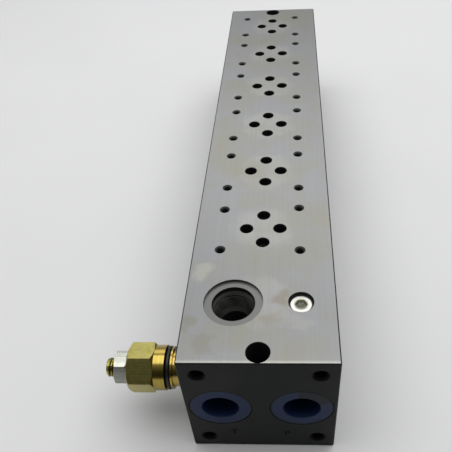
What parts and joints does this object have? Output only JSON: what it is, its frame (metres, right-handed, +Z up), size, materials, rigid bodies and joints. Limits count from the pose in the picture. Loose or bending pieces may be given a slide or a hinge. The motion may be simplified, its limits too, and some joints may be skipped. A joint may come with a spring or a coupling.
{
  "type": "hydraulic manifold block",
  "caption": "Long steel manifold block with a row of valve stations on top, two gallery ports in the near end and a screw-adjusted relief valve in the left side.",
  "frame": {"origin": "centre of the block's bottom face", "axes": "+Z up through the valve face, +Y along the block away from the main ports, +X to the right, away from the relief valve"},
  "size_m": [0.114, 0.368, 0.073],
  "materials": {
    "phosphated_steel": "manganese phosphated bar, top face ground bright",
    "blue_plastic": "moulded polyethylene",
    "bright_steel": "bright zinc",
    "yellow_zinc": "turned, yellow passivated zinc",
    "yellow_zinc_hexagon": "drawn hexagon bar, yellow passivated zinc",
    "yellow_zinc_screw": "rolled thread, yellow passivated zinc",
    "bright_zinc": "bright zinc",
    "seal_rubber": "moulded nitrile",
    "white_ptfe": "cut PTFE ring",
    "hardened_steel": "hardened and ground",
    "spring_steel": "oiled spring wire"
  },
  "bodies": {
    "block": {"manifold_block": "phosphated_steel", "gauge_port_plug": "bright_steel", "relief_body": "yellow_zinc", "nose_o_ring": "seal_rubber", "nose_backup_ring": "white_ptfe", "valve_seat": "hardened_steel", "valve_spring": "spring_steel", "adjuster_housing": "yellow_zinc_hexagon", "housing_o_ring": "seal_rubber", "lock_nut": "bright_zinc"},
    "spring_guide": {"spring_guide": "hardened_steel", "guide_o_ring": "seal_rubber"},
    "adjusting_screw": {"adjusting_screw": "yellow_zinc_screw"},
    "poppet": {"poppet": "hardened_steel"},
    "port_plug_t": {"port_plug_t": "blue_plastic"},
    "port_plug_p": {"port_plug_p": "blue_plastic"}
  },
  "joints": [
    {"name": "screw_turn", "type": "hinge", "parent": "spring_guide", "child": "adjusting_screw", "pos_m": [-0.0755, -0.1597, 0.0333], "axis": [1, 0, 0], "range_deg": [-480, 960]},
    {"name": "guide_slide", "type": "slide", "parent": "block", "child": "spring_guide", "axis": [1, 0, 0], "range_m": [-0.002, 0.004], "deforming": ["valve_spring"]},
    {"name": "poppet_lift", "type": "slide", "parent": "block", "child": "poppet", "axis": [-1, 0, 0], "range_m": [0, 0.0015], "stiffness_N_per_m": 12000, "springref_m": -0.006},
    {"name": "plug_t_pull", "type": "slide", "parent": "block", "child": "port_plug_t", "axis": [0, -1, 0], "range_m": [0, 0.03]},
    {"name": "plug_p_pull", "type": "slide", "parent": "block", "child": "port_plug_p", "axis": [0, -1, 0], "range_m": [0, 0.03]}
  ],
  "couplings": [
    {"joint": "screw_turn", "follows": "guide_slide", "rad_per_m": 4188.8}
  ]
}
